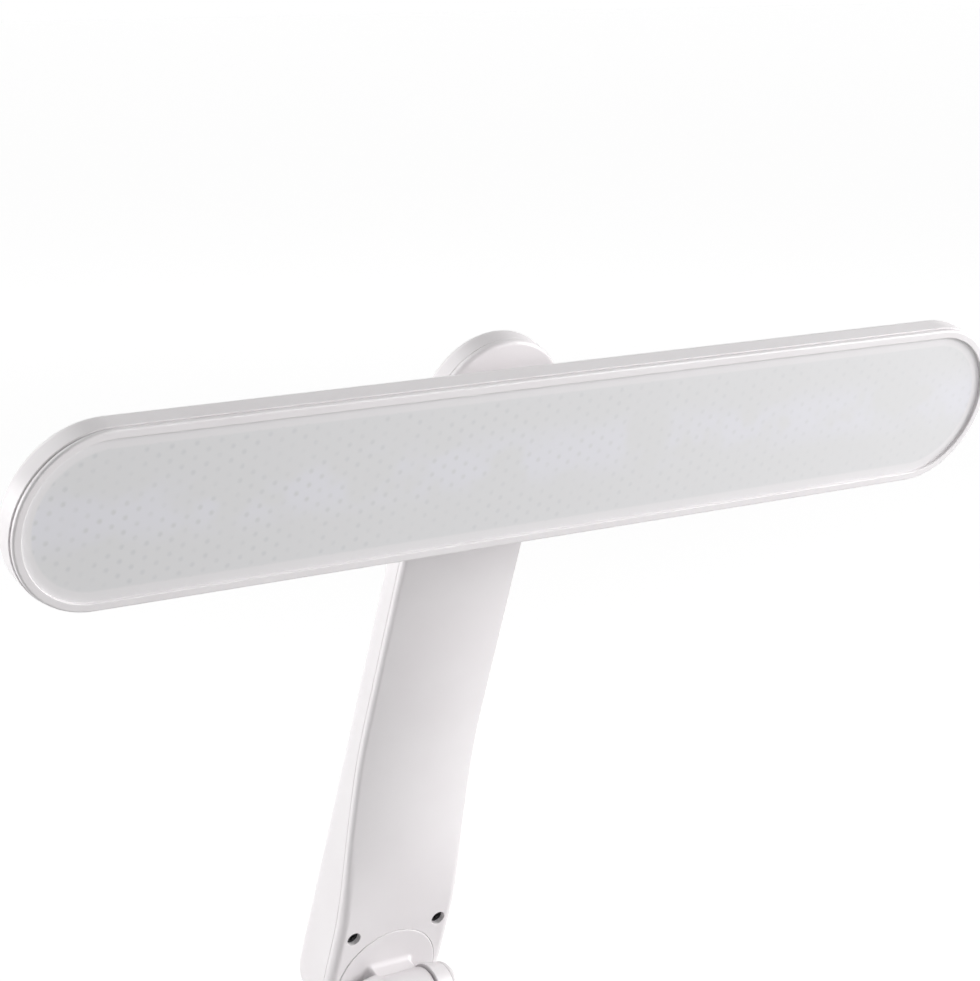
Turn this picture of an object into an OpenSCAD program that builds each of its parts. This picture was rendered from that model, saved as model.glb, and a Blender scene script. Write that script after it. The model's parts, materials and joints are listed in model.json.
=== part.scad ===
// Folding desk lamp: a long flat light head on a leaning arm, carried by a weighted base.
// The base stands on z = 0 with its front towards -Y. The arm turns and tilts on a knuckle at
// each end. The arm and the head are drawn in their own frames: x to the right, y up the piece
// and z out of its front face, measured from the hinge axis that carries it.

/* [Head] */
// Length of the head from end to end
head_length = 389.4; // [200:0.1:500]
// Width of the head
head_width = 60; // [50:0.1:90]
// Thickness of the head from its back to its front rim
head_depth = 12; // [11:0.1:20]
// Rounding of the back edge of the head
head_edge = 4.2; // [1:0.1:5]
// Wall of the head housing
head_wall = 1.6; // [1.2:0.1:2]
// Height of the bezel that stands on the housing's rim
bezel_height = 1.6; // [1.2:0.1:2.5]
// Step in from the housing's side to the bezel's side
bezel_step = 0.35; // [0.1:0.05:0.8]
// Width of the bezel's front face
bezel_face = 2.9; // [2:0.1:5]
// Open joint between the housing's rim and the bezel
bezel_joint = 0.35; // [0.1:0.05:0.6]
// Depth of the diffuser below the bezel's front
diffuser_recess = 1.2; // [0.5:0.1:2]
// Thickness of the diffuser
diffuser_thickness = 1.2; // [0.8:0.1:2]
// Thickness of the light guide
guide_thickness = 3; // [2:0.1:4]
// Thickness of the reflector sheet
reflector_thickness = 0.5; // [0.2:0.1:1]
// Thickness of each strip board that carries the light chips
strip_thickness = 1; // [0.6:0.1:1.6]
// Distance from one light chip to the next
chip_pitch = 14; // [8:0.5:30]
// Distance from the head's hinge axis to its front rim
head_reach = 22.5; // [20:0.1:30]
// Lean of the light head forwards from upright, in degrees
head_lean = 17.1; // [5:0.1:30]

/* [Arm] */
// Distance between the arm's two turning centres
arm_length = 232.7; // [160:0.1:320]
// Half of the arm's width
arm_radius = 24.9; // [22:0.1:30]
// Depth of the arm's flat back behind the lower hinge axis
arm_back = 35.6; // [32:0.1:45]
// Rounding of the arm's back edge
arm_edge = 4; // [1:0.1:4.5]
// Wall of the arm's back shell
arm_wall = 2.2; // [1.5:0.1:3]
// Depth of the lower platform behind the lower hinge axis
platform_depth = 12.5; // [11:0.1:15]
// Drop from the platform to the arm's edge
platform_drop = 3.1; // [1:0.1:4]
// Depth of the arm's front edge where the upper part starts
shoulder_depth = 23.6; // [20:0.1:26]
// Depth of the arm's front edge at its upper turning centre
top_depth = 24.4; // [20:0.1:26]
// Height of the crown across the upper part of the arm
crown_height = 3; // [0:0.1:4]
// Height above the lower centre where the step between platform and upper part starts
step_start = 22; // [15:1:40]
// Height above the lower centre where that step ends
step_end = 106; // [60:1:130]
// Height above the lower centre where the flat platform has turned into the crowned front
crown_start = 66; // [45:1:106]
// Depth of the front cover's rim below the arm's front edge
cover_rim = 1.2; // [0.8:0.1:2]
// Lean of the arm forwards from upright, in degrees
arm_lean = 20.3; // [5:0.1:40]
// Distance of the cover screws from the arm's centre line
cover_screw_x = 18.5; // [14:0.1:18.8]
// Distance of the cover screws from the nearest turning centre
cover_screw_y = 22; // [18:0.1:30]

/* [Lower knuckle] */
// Radius of the lower turning disc
low_disc_radius = 21; // [17:0.1:21.5]
// Thickness of the lower turning disc
low_disc_thickness = 2.5; // [1.5:0.1:3]
// Radius of the lower hinge barrel
low_barrel_radius = 9.3; // [7:0.1:10.5]
// Half of the lower neck's width
low_neck_half = 9; // [8:0.1:12]
// Half of the lower neck's height
low_neck_height = 8; // [5:0.1:9]
// Radius of the lower hinge pin
low_pin_radius = 3; // [2:0.1:4]
// Radius of the hub that passes through the arm's cover
low_hub_radius = 9; // [7:0.1:10]
// Length of each outer ear along the lower hinge axis
low_ear_length = 7; // [3:0.1:9]
// Length of each end cap along the lower hinge axis
low_cap_length = 2.4; // [1.5:0.1:4]

/* [Upper knuckle] */
// Radius of the upper turning disc
top_disc_radius = 15; // [13:0.1:18]
// Thickness of the upper turning disc
top_disc_thickness = 2; // [1.5:0.1:2.5]
// Distance from the upper turning disc's face to the head's hinge axis
top_disc_reach = 10.7; // [10:0.1:13]
// Radius of the upper hinge barrel
top_barrel_radius = 7; // [6:0.1:8]
// Half of the upper neck's width
top_neck_half = 8; // [6:0.1:10]
// Half of the upper neck's height
top_neck_height = 5.6; // [4:0.1:6.5]
// Radius of the upper hinge pin
top_pin_radius = 2.2; // [1.5:0.1:3]
// Radius of the upper hub
top_hub_radius = 7.5; // [6:0.1:8]
// Length of each of the head's ears along its hinge axis
top_ear_length = 4.2; // [3:0.1:6]
// Length of each upper end cap along the hinge axis
top_cap_length = 1.8; // [1.2:0.1:3]

/* [Base] */
// Width of the base
base_width = 150; // [130:1:200]
// Depth of the base from front to back
base_depth = 180; // [165:1:240]
// Height of the base's top face
base_height = 20; // [18.5:0.1:28]
// Rounding of the base's top edge
base_edge = 5; // [2:0.1:7]
// Wall of the base's top shell
base_wall = 2.4; // [1.8:0.1:3]
// Distance from the base's back edge to the lower hinge axis
hinge_setback = 45; // [38:0.5:60]
// Height of the lower hinge axis above the base's top face
hinge_rise = 40; // [36:0.5:60]
// Thickness of the rubber pad under the base
pad_thickness = 1.5; // [1:0.1:3]
// Thickness of the base's bottom plate
bottom_thickness = 2; // [1.5:0.1:3]
// Thickness of the steel ballast plate
ballast_thickness = 6; // [4:0.1:7]
// Thickness of the hinge yoke's foot
foot_thickness = 3; // [2:0.1:4]

/* [Controls] */
// Radius of each push button
button_radius = 7; // [5:0.1:9]
// Distance between the two push buttons
button_spacing = 30; // [24:0.5:40]
// Distance from the base's front edge to the push buttons
button_setback = 28; // [24:0.5:45]
// Height of the push buttons above the base's top face
button_proud = 1; // [0.9:0.1:2]
// Travel of each push button
button_travel = 0.8; // [0.3:0.1:1]
// Width of the power socket's shell
socket_width = 9; // [8.9:0.1:10]
// Height of the power socket's shell
socket_height = 3.3; // [3.2:0.1:4]

/* [Fits] */
// Running clearance between a pin or hub and its bore, on the radius
running = 0.06; // [0.02:0.01:0.1]
// Clearance of a fixed pin or screw in its hole, on the radius
seat = 0.02; // [0.01:0.01:0.05]
// Open joint round each turning disc
disc_joint = 0.35; // [0.1:0.05:0.6]
// Axial play of the turning parts
play = 0.1; // [0.05:0.01:0.2]
// Gap for the friction washer between each neck and ear
washer_gap = 0.8; // [0.4:0.05:1.2]
// Thickness of the friction washers
washer_thickness = 0.6; // [0.3:0.05:1]

/* [Hidden] */
$fn = 64;
white = [0.93, 0.93, 0.94];
frosted = [0.86, 0.87, 0.88];
clear_plastic = [0.8, 0.86, 0.9];
steel = [0.62, 0.63, 0.65];
dark_steel = [0.2, 0.2, 0.22];
board_green = [0.12, 0.38, 0.24];
rubber_grey = [0.35, 0.35, 0.36];

// Head levels, from the head's hinge axis towards the front
head_back_z = head_reach - head_depth;
bezel_z = head_reach - bezel_height;
rim_z = bezel_z - bezel_joint;
diffuser_z = head_reach - diffuser_recess - diffuser_thickness;
guide_z = diffuser_z - guide_thickness;
reflector_z = guide_z - reflector_thickness;
head_inside = head_width / 2 - head_wall;
skirt_wall = 1;
skirt_gap = 0.1;
skirt_inside = head_inside - skirt_gap - skirt_wall;
chip_size = [3.4, 0.5, 1.6];
guide_gap = 0.1;
strip_y = skirt_inside - skirt_gap - strip_thickness;
guide_half = strip_y - chip_size[1] - guide_gap;
strip_length = head_length - head_width - 10;
chip_count = floor((strip_length - chip_size[0]) / chip_pitch) + 1;
rib_thickness = 1.2;
rib_pitch = 40;
rib_count = floor((head_length - head_width) / rib_pitch / 2);

// Head bracket
bracket_flange = 2;
bracket_length = 46;
bracket_height = 22;
bracket_face_z = head_back_z - bracket_flange;
bracket_screw_x = 19;
bracket_screw_y = 6.5;
small_head_radius = 2;
small_head_height = 1.2;
small_shank_radius = 1;
bracket_shank = 4.4;
bracket_boss = 2.6;

// Arm levels, behind the lower hinge axis
rim_power = 14;
crown_power = 2;
back_z = -arm_back;
back_inside_z = back_z + arm_wall;
shell_inside = arm_radius - arm_wall;
seat_floor = 2.4;
low_land = 2;
top_land = 3;
low_seat_z = -platform_depth - low_disc_thickness - play;
low_inner_z = low_seat_z - seat_floor;
top_axis_z = -top_depth + crown_height + 0.3 + top_disc_reach;
top_seat_z = top_axis_z - top_disc_reach - top_disc_thickness - play;
top_inner_z = top_seat_z - seat_floor;
screw_ledge = 1.1;
cover_head_radius = 2.5;
cover_head_height = 1.2;
cover_recess_radius = 2.75;
cover_shank_radius = 1.45;
cover_shank_length = 8;
boss_radius = 3.5;
cavity_half = 19;
boss_side = 1.6;
wire_radius = 1.4;
wire_z = back_inside_z + 2.2;
arm_rib_height = 1.6;
arm_rib_pitch = 30;
wire_channel = 4;

// Knuckles
neck_fillet = 2;
hub_bore = 3.5;
spring_thickness = 0.7;
retainer_thickness = 1.6;
retainer_rim = 5;
retainer_gap = 0.5;
retainer_screws = 3;
retainer_screw_shank = 3.4;
low_ear_start = low_neck_half + washer_gap;
low_ear_end = low_ear_start + low_ear_length;
top_ear_start = top_neck_half + washer_gap;
top_ear_end = top_ear_start + top_ear_length;
cap_spigot = 1.2;
cap_round = 1.6;
cap_chamfer = 0.25;

// Base levels
hinge_y = base_depth / 2 - hinge_setback;
hinge_z = base_height + hinge_rise;
bottom_top = pad_thickness + bottom_thickness;
ballast_top = bottom_top + ballast_thickness;
base_ceiling = base_height - base_wall;
pad_inset = 5;
ballast_inset = 12;
plate_gap = 0.15;
boss_x = 48;
boss_y = base_depth / 2 - 35;
base_boss_radius = 4;
base_shank = 8;
waist_back = 8.6;
waist_front = 11;
waist_drop = 14;
waist_round = 3;
pedestal_back = 11.5;
pedestal_front = 26;
pedestal_width = 50;
yoke_half = low_ear_end;
yoke_gap = 0.3;
slot_floor = low_barrel_radius + 0.8;
foot_margin = 9;
foot_x = pedestal_width / 2 + foot_margin;
foot_y_low = hinge_y - pedestal_front;
foot_y_high = hinge_y + pedestal_back;
foot_screw_inset = 4.5;
foot_shank = 4;
board_size = [62, 24, 1.6];
board_z = ballast_top + 1;
button_y = -base_depth / 2 + button_setback;
button_gap = 0.15;
button_flange = 1.4;
button_flange_height = 1.2;
button_round = 0.6;
button_top = base_height + button_proud;
button_stem_z = base_ceiling - button_flange_height - 0.2;
switch_size = [6, 6, 2];
switch_cap_radius = 1.6;
switch_gap = 0.1;
post_radius = 2.2;
inlet_size = [20, 15, 1.2];
inlet_y = base_depth / 2 - base_wall - inlet_size[1] / 2 - 1.5;
inlet_z = ballast_top + 0.3;
socket_depth = 7.4;
socket_z = inlet_z + inlet_size[2];
socket_wall = 0.35;
socket_lip = 1.3;
socket_gap = 0.3;
tongue_inset = 1.4;
tongue_thickness = 0.7;

// Frames
module at_hinge() translate([0, hinge_y, hinge_z]) rotate([90 + arm_lean, 0, 0]) children();
module at_top() at_hinge() translate([0, arm_length, 0]) children();
module at_head() at_top() translate([0, 0, top_axis_z]) rotate([head_lean - arm_lean, 0, 0]) children();
module at_base_axis() translate([0, hinge_y, hinge_z]) children();

// Shared shapes
module stadium(length, width) {
    for (side = [-1, 1]) translate([side * (length - width) / 2, 0]) circle(d = width);
    square([length - width, width], center = true);
}
module slab(length, width, low, high) {
    translate([0, 0, low]) linear_extrude(high - low) stadium(length, width);
}
module rounded_profile(reach, depth, edge) {
    square([reach - edge, depth]);
    translate([0, edge]) square([reach, depth - edge]);
    translate([reach - edge, edge]) circle(edge);
}
module rounded_slab(length, width, depth, edge) {
    straight = length - width;
    for (side = [-1, 1]) translate([side * straight / 2, 0, 0])
        rotate_extrude() rounded_profile(width / 2, depth, edge);
    rotate([90, 0, 90]) linear_extrude(straight, center = true)
        for (side = [0, 1]) mirror([side, 0]) rounded_profile(width / 2, depth, edge);
}
module round_stadium(length, width) {
    straight = length - width;
    for (side = [-1, 1]) translate([side * straight / 2, 0, 0]) rotate([0, 0, -90 * side])
        rotate_extrude(angle = 180) children();
    for (side = [0, 1]) mirror([0, side, 0]) rotate([90, 0, 90])
        linear_extrude(straight, center = true) children();
}
module along_x(length) rotate([90, 0, 90]) linear_extrude(length, center = true) children();
module rod_x(radius, from, to) translate([from, 0, 0]) rotate([0, 90, 0]) cylinder(to - from, r = radius);
module ring(outer, inner, low, high) {
    translate([0, 0, low]) difference() {
        cylinder(high - low, r = outer);
        translate([0, 0, -1]) cylinder(high - low + 2, r = inner);
    }
}
module four(x, y) for (a = [-1, 1], b = [-1, 1]) translate([a * x, b * y, 0]) children();

// A screw with its head's underside at z = 0, its head towards +z and a crossed recess
module screw(head_radius, head_height, shank_radius, shank_length) {
    recess_width = head_radius * 0.3;
    recess_length = head_radius * 1.2;
    difference() {
        union() {
            cylinder(head_height, r = head_radius);
            translate([0, 0, -shank_length]) cylinder(shank_length + 0.01, r = shank_radius);
        }
        for (turn = [0, 90]) rotate([0, 0, turn])
            translate([-recess_length / 2, -recess_width / 2, head_height * 0.4])
                cube([recess_length, recess_width, head_height]);
    }
}

// ---- Head ----
module head_housing() color(white) at_head() {
    cavity_z = head_back_z + head_wall;
    difference() {
        union() {
            difference() {
                translate([0, 0, head_back_z])
                    rounded_slab(head_length, head_width, rim_z - head_back_z, head_edge);
                slab(head_length - 2 * head_wall, 2 * head_inside, cavity_z, head_reach);
            }
            intersection() {
                slab(head_length - head_wall, head_width - head_wall, cavity_z - 1, reflector_z);
                for (i = [-rib_count : rib_count])
                    translate([i * rib_pitch - rib_thickness / 2, -head_width / 2, 0])
                        cube([rib_thickness, head_width, head_reach]);
            }
            four(bracket_screw_x, bracket_screw_y)
                translate([0, 0, cavity_z - 1]) cylinder(bracket_shank - head_wall + 1, r = bracket_boss);
        }
        four(bracket_screw_x, bracket_screw_y)
            translate([0, 0, head_back_z - 1]) cylinder(bracket_shank + 0.6, r = small_shank_radius + seat);
    }
}
module head_bezel() color(white) at_head() {
    outer = head_width / 2 - bezel_step;
    inner = outer - bezel_face;
    round_edge = bezel_height / 2;
    round_stadium(head_length, head_width) union() {
        difference() {
            translate([skirt_inside, bezel_z]) square([outer - skirt_inside, bezel_height]);
            translate([outer - round_edge, head_reach - round_edge]) square(round_edge + 1);
        }
        translate([outer - round_edge, head_reach - round_edge]) circle(round_edge);
        translate([skirt_inside, reflector_z]) square([skirt_wall, bezel_z - reflector_z + 0.1]);
        translate([inner, diffuser_z + diffuser_thickness])
            square([skirt_inside + skirt_wall - inner, diffuser_recess]);
    }
}
module diffuser() color(frosted) at_head() {
    inset = head_width / 2 - skirt_inside + skirt_gap;
    slab(head_length - 2 * inset, head_width - 2 * inset, diffuser_z, diffuser_z + diffuser_thickness);
}
module light_guide() color(clear_plastic) at_head()
    slab(head_length - head_width + 2 * guide_half, 2 * guide_half, guide_z, guide_z + guide_thickness);
module reflector_sheet() color("white") at_head()
    slab(head_length - head_width + 2 * skirt_inside - 2 * skirt_gap, 2 * (skirt_inside - skirt_gap),
        reflector_z, guide_z);
module light_strips() color(board_green) at_head()
    for (side = [0, 1]) mirror([0, side, 0]) translate([-strip_length / 2, strip_y, guide_z])
        cube([strip_length, strip_thickness, guide_thickness]);
module light_chips() color("khaki") at_head()
    for (side = [0, 1], i = [0 : chip_count - 1]) mirror([0, side, 0])
        translate([(i - (chip_count - 1) / 2) * chip_pitch - chip_size[0] / 2, strip_y - chip_size[1],
            guide_z + (guide_thickness - chip_size[2]) / 2]) cube(chip_size);
module head_bracket() color(white) at_head() difference() {
    union() {
        slab(bracket_length, bracket_height, bracket_face_z, head_back_z);
        for (side = [0, 1]) mirror([side, 0, 0]) translate([top_ear_start + top_ear_length / 2, 0, 0])
            along_x(top_ear_length) {
                circle(top_barrel_radius);
                translate([-top_barrel_radius, 0]) square([2 * top_barrel_radius, bracket_face_z + 0.5]);
            }
    }
    rod_x(top_pin_radius + seat, -top_ear_end - 1, top_ear_end + 1);
    for (side = [0, 1]) mirror([side, 0, 0])
        rod_x(top_pin_radius + 1, top_ear_end - cap_spigot - play, top_ear_end + 1);
    four(bracket_screw_x, bracket_screw_y) translate([0, 0, bracket_face_z - 1]) {
        cylinder(bracket_flange + 2, r = small_shank_radius + seat);
        cylinder(1 + small_head_height, r = small_head_radius + 0.2);
    }
}
module head_bracket_screws() color(steel) at_head() four(bracket_screw_x, bracket_screw_y)
    translate([0, 0, bracket_face_z + small_head_height]) mirror([0, 0, 1])
        screw(small_head_radius, small_head_height, small_shank_radius, bracket_shank);
module head_pin() color(steel) at_head()
    rod_x(top_pin_radius, -top_ear_end + cap_spigot + play, top_ear_end - cap_spigot - play);
module head_pin_caps() color(white) at_head()
    hinge_caps(top_ear_end, top_cap_length, top_barrel_radius, top_pin_radius + 1 - seat);
module head_washers() color(steel) at_head()
    friction_washers(top_neck_half, top_pin_radius + running, top_barrel_radius - 1.5);

// ---- Parts that both hinges share ----
// Two domed end caps, each with a spigot into its ear
module hinge_caps(start, length, radius, spigot_radius) {
    for (side = [0, 1]) mirror([side, 0, 0]) translate([start, 0, 0]) rotate([0, 90, 0]) {
        rotate_extrude() difference() {
            union() {
                square([radius - cap_round, length]);
                square([radius, length - cap_round]);
                translate([radius - cap_round, length - cap_round]) circle(cap_round);
            }
            translate([radius, 0]) rotate(45) square(cap_chamfer * sqrt(2), center = true);
            translate([0, -2 * cap_round]) square([radius, 2 * cap_round]);
        }
        translate([0, 0, -cap_spigot]) cylinder(cap_spigot + 0.1, r = spigot_radius);
    }
}
module friction_washers(neck_half, inner, outer) {
    for (side = [0, 1]) mirror([side, 0, 0]) rotate([0, 90, 0])
        ring(outer, inner, neck_half + (washer_gap - washer_thickness) / 2,
            neck_half + (washer_gap + washer_thickness) / 2);
}
// A turning disc with a neck and barrel in front, centred on the barrel's axis, and a hub behind
// that passes through the seat's floor, the spring washer and the play on both sides of them
module turntable(disc_radius, disc_thickness, reach, neck_half, neck_height, barrel_radius,
        pin_radius, hub_radius) {
    hub_length = seat_floor + 2 * play + spring_thickness;
    hub_end = -reach - disc_thickness - hub_length;
    difference() {
        union() {
            translate([0, 0, -reach - disc_thickness]) cylinder(disc_thickness, r = disc_radius);
            translate([0, 0, hub_end]) cylinder(hub_length + 1, r = hub_radius);
            along_x(2 * neck_half) {
                circle(barrel_radius);
                translate([-neck_height, -reach]) square([2 * neck_height, reach]);
                for (side = [0, 1]) mirror([side, 0]) fillet_corner(neck_height, -reach);
            }
            rotate([90, 0, 0]) linear_extrude(2 * neck_height, center = true)
                for (side = [0, 1]) mirror([side, 0]) fillet_corner(neck_half, -reach);
        }
        rod_x(pin_radius + running, -neck_half - 1, neck_half + 1);
        translate([0, 0, hub_end - 1]) cylinder(hub_length + disc_thickness, r = hub_bore);
        retainer_holes(hub_radius) translate([0, 0, hub_end - 1])
            cylinder(retainer_screw_shank + 1, r = small_shank_radius + seat);
    }
}
module fillet_corner(x, y) translate([x - 0.01, y - 0.01]) difference() {
    square(neck_fillet);
    translate([neck_fillet, neck_fillet]) circle(neck_fillet);
}
module retainer_holes(hub_radius) {
    pitch_radius = (hub_bore + hub_radius) / 2;
    for (i = [0 : retainer_screws - 1]) rotate([0, 0, 90 + i * 360 / retainer_screws])
        translate([pitch_radius, 0, 0]) children();
}
// The spring washer, retaining plate and screws behind the cover that a hub passes through
module spring_washer(inner_z, hub_radius) {
    ring(hub_radius + retainer_rim - 1, hub_radius + 0.3, inner_z - play / 2 - spring_thickness,
        inner_z - play / 2);
}
module retainer(inner_z, hub_radius) {
    front_z = inner_z - play - spring_thickness;
    difference() {
        ring(hub_radius + retainer_rim, hub_bore, front_z - retainer_thickness, front_z);
        retainer_holes(hub_radius) translate([0, 0, front_z - retainer_thickness - 1])
            cylinder(retainer_thickness + 2, r = small_shank_radius + seat);
    }
}
module retainer_screw_set(inner_z, hub_radius) {
    back = inner_z - play - spring_thickness - retainer_thickness;
    retainer_holes(hub_radius) translate([0, 0, back]) mirror([0, 0, 1])
        screw((hub_radius - hub_bore) / 2 - 0.2, small_head_height, small_shank_radius,
            retainer_thickness + retainer_screw_shank - 0.4);
}

// ---- Upper knuckle ----
module upper_turntable() color(white) at_top() translate([0, 0, top_axis_z])
    turntable(top_disc_radius, top_disc_thickness, top_disc_reach, top_neck_half, top_neck_height,
        top_barrel_radius, top_pin_radius, top_hub_radius);
module upper_spring_washer() color(steel) at_top() spring_washer(top_inner_z, top_hub_radius);
module upper_retainer() color(steel) at_top() retainer(top_inner_z, top_hub_radius);
module upper_retainer_screws() color(steel) at_top() retainer_screw_set(top_inner_z, top_hub_radius);

// ---- Arm ----
// Height of the arm's front edge and surface behind the lower hinge axis, from a smooth step
function mix(a, b, share) = a + (b - a) * share;
function smooth(t) = t * t * (3 - 2 * t);
function share_at(y, end) = smooth(min(1, max(0, (y - step_start) / (end - step_start))));
function step_share(y) = share_at(y, step_end);
function upper_edge(y) = mix(-shoulder_depth, -top_depth, (y - step_end) / (arm_length - step_end));
function edge_z(y) = mix(-platform_depth - platform_drop, upper_edge(y), step_share(y));
function crown(y) = mix(platform_drop, crown_height, step_share(y));
function crown_shape(y) = mix(rim_power, crown_power, share_at(y, crown_start));
function off_centre(x, y) = norm([x, max(0, -y, y - arm_length)]) / arm_radius;
function front_z(x, y) = edge_z(y) + crown(y) * (1 - pow(off_centre(x, y), crown_shape(y)));
function parting_z(y) = edge_z(y) - cover_rim;
surface_half = arm_radius + 0.6;
surface_rings = 10;
surface_turns = 25;
step_rows = 14;
row_y = concat([0], [for (j = [0 : step_rows]) mix(step_start, step_end, j / step_rows)], [arm_length]);
last_row = len(row_y) - 1;

// The body below the arm's front surface, a little wider than the arm's outline all round.
// Its straight part is a grid of rows, and each round end a fan of rings about a turning centre.
module arm_front_body() {
    across = 2 * surface_rings + 1;
    deep = back_z - 5;
    reach = [for (i = [0 : surface_rings]) surface_half * sin(90 * i / surface_rings)];
    straight = [for (y = row_y, i = [-surface_rings : surface_rings]) [sign(i) * reach[abs(i)], y]];
    fans = [for (end = [0, 1], k = [1 : surface_turns - 1], i = [1 : surface_rings])
        let (turn = 180 * k / surface_turns)
            [reach[i] * cos(turn), end * arm_length + (2 * end - 1) * reach[i] * sin(turn)]];
    plan = concat(straight, fans);
    fan_size = (surface_turns - 1) * surface_rings;
    function fan_point(end, k, i) = let (middle = end * last_row * across + surface_rings)
        k == 0 ? middle + i : k == surface_turns ? middle - i : i == 0 ? middle
        : len(straight) + end * fan_size + (k - 1) * surface_rings + i - 1;
    rows = [for (j = [0 : last_row - 1], i = [0 : across - 2], half = [0, 1])
        let (a = j * across + i, c = a + across + 1) half == 0 ? [a, c, a + 1] : [a, a + across, c]];
    rounds = [for (end = [0, 1], k = [0 : surface_turns - 1], i = [0 : surface_rings - 1])
        let (p = fan_point(end, k, i), q = fan_point(end, k, i + 1), r = fan_point(end, k + 1, i + 1),
            s = fan_point(end, k + 1, i))
        each concat([end == 0 ? [p, q, r] : [p, r, q]],
            i == 0 ? [] : [end == 0 ? [p, r, s] : [p, s, r]])];
    rim = concat([for (j = [0 : last_row]) j * across + across - 1],
        [for (k = [1 : surface_turns - 1]) fan_point(1, k, surface_rings)],
        [for (j = [last_row : -1 : 0]) j * across],
        [for (k = [surface_turns - 1 : -1 : 1]) fan_point(0, k, surface_rings)]);
    top = len(plan);
    turns = len(rim);
    sides = [for (n = [0 : turns - 1]) let (m = (n + 1) % turns)
        each [[rim[n], rim[m], top + m, top + n], [top + n, top + m, top + turns]]];
    polyhedron(concat([for (p = plan) [p[0], p[1], front_z(p[0], p[1])]],
        [for (n = rim) concat(plan[n], [deep])], [[0, arm_length / 2, deep]]), concat(rows, rounds, sides));
}
module arm_outline(inset = 0) translate([0, arm_length / 2]) rotate(90)
    stadium(arm_length + 2 * (arm_radius - inset), 2 * (arm_radius - inset));
module arm_prism(low, high, inset = 0) translate([0, 0, low])
    linear_extrude(high - low) arm_outline(inset);
// Everything in front of the parting line (side = 1) or behind it (side = -1), moved by shift
module parting_side(side, shift = 0) {
    far = side > 0 ? 5 : back_z - 5;
    rows = concat([-surface_half], row_y, [arm_length + surface_half]);
    along_x(4 * arm_radius) polygon(concat([for (y = rows) [y, parting_z(y) + shift]],
        [[arm_length + surface_half, far], [-surface_half, far]]));
}
module arm_screw_places() for (x = [-1, 1], y = [cover_screw_y, arm_length - cover_screw_y])
    translate([x * cover_screw_x, y, parting_z(y)]) children();
module arm_front_cover() color(white) at_hinge() difference() {
    union() {
        difference() {
            intersection() {
                arm_prism(back_z, 0);
                arm_front_body();
                parting_side(1);
            }
            intersection() {
                arm_prism(back_z, 0, arm_radius - cavity_half);
                parting_side(-1, cover_rim);
                difference() {
                    translate([-arm_radius, 0, back_z]) cube([2 * arm_radius, arm_length, arm_back]);
                    cylinder(4 * arm_back, r = low_disc_radius + low_land, center = true);
                    translate([0, arm_length, 0])
                        cylinder(4 * arm_back, r = top_disc_radius + top_land, center = true);
                    arm_screw_places()
                        cylinder(4 * arm_back, r = boss_radius + boss_side, center = true);
                }
            }
        }
        translate([0, 0, low_inner_z])
            cylinder(-low_inner_z - platform_depth - 1, r = shell_inside - 0.1);
        translate([0, arm_length, top_inner_z]) cylinder(seat_floor - 0.4, r = top_disc_radius + top_land);
    }
    turning_seat(low_seat_z, low_disc_radius, low_hub_radius);
    translate([0, arm_length, 0]) turning_seat(top_seat_z, top_disc_radius, top_hub_radius);
    arm_screw_places() {
        translate([0, 0, -5]) cylinder(20, r = cover_shank_radius + seat);
        translate([0, 0, screw_ledge]) cylinder(20, r = cover_recess_radius);
    }
}
module turning_seat(seat_z, disc_radius, hub_radius) {
    translate([0, 0, seat_z]) cylinder(20, r = disc_radius + disc_joint);
    translate([0, 0, seat_z - seat_floor - 5]) cylinder(20, r = hub_radius + running);
    translate([0, 0, seat_z - seat_floor - 5]) cylinder(5, r = hub_radius + retainer_rim + retainer_gap);
}
module arm_back_shell() color(white) at_hinge() difference() {
    union() {
        difference() {
            intersection() {
                translate([0, arm_length / 2, back_z]) rotate([0, 0, 90])
                    rounded_slab(arm_length + 2 * arm_radius, 2 * arm_radius, arm_back, arm_edge);
                parting_side(-1);
            }
            arm_prism(back_inside_z, 5, arm_wall);
        }
        intersection() {
            arm_screw_places() cylinder(4 * arm_back, r = boss_radius, center = true);
            arm_prism(back_z + 1, 0, arm_wall / 2);
            parting_side(-1);
        }
        for (y = [cover_screw_y + arm_rib_pitch : arm_rib_pitch : arm_length - cover_screw_y - 10])
            for (side = [0, 1]) mirror([side, 0, 0]) translate([wire_channel, y, back_inside_z - 0.5])
                cube([shell_inside - wire_channel + 0.5, rib_thickness, arm_rib_height + 0.5]);
    }
    arm_screw_places() translate([0, 0, -cover_shank_length - 0.5])
        cylinder(cover_shank_length + 5, r = cover_shank_radius + seat);
}
module arm_screws() color(dark_steel) at_hinge() arm_screw_places() translate([0, 0, screw_ledge])
    screw(cover_head_radius, cover_head_height, cover_shank_radius, cover_shank_length);
module arm_wire() color("gainsboro") at_hinge() {
    low_turn = [0, 0, wire_z];
    top_turn = [0, arm_length, wire_z];
    translate(low_turn) cylinder(low_seat_z - wire_z, r = wire_radius);
    translate(top_turn) cylinder(top_seat_z - wire_z, r = wire_radius);
    translate(low_turn) rotate([-90, 0, 0]) cylinder(arm_length, r = wire_radius);
    translate(low_turn) sphere(wire_radius);
    translate(top_turn) sphere(wire_radius);
}

// ---- Lower knuckle ----
module lower_turntable() color(white) at_hinge()
    turntable(low_disc_radius, low_disc_thickness, platform_depth, low_neck_half, low_neck_height,
        low_barrel_radius, low_pin_radius, low_hub_radius);
module lower_spring_washer() color(steel) at_hinge() spring_washer(low_inner_z, low_hub_radius);
module lower_retainer() color(steel) at_hinge() retainer(low_inner_z, low_hub_radius);
module lower_retainer_screws() color(steel) at_hinge() retainer_screw_set(low_inner_z, low_hub_radius);

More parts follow.
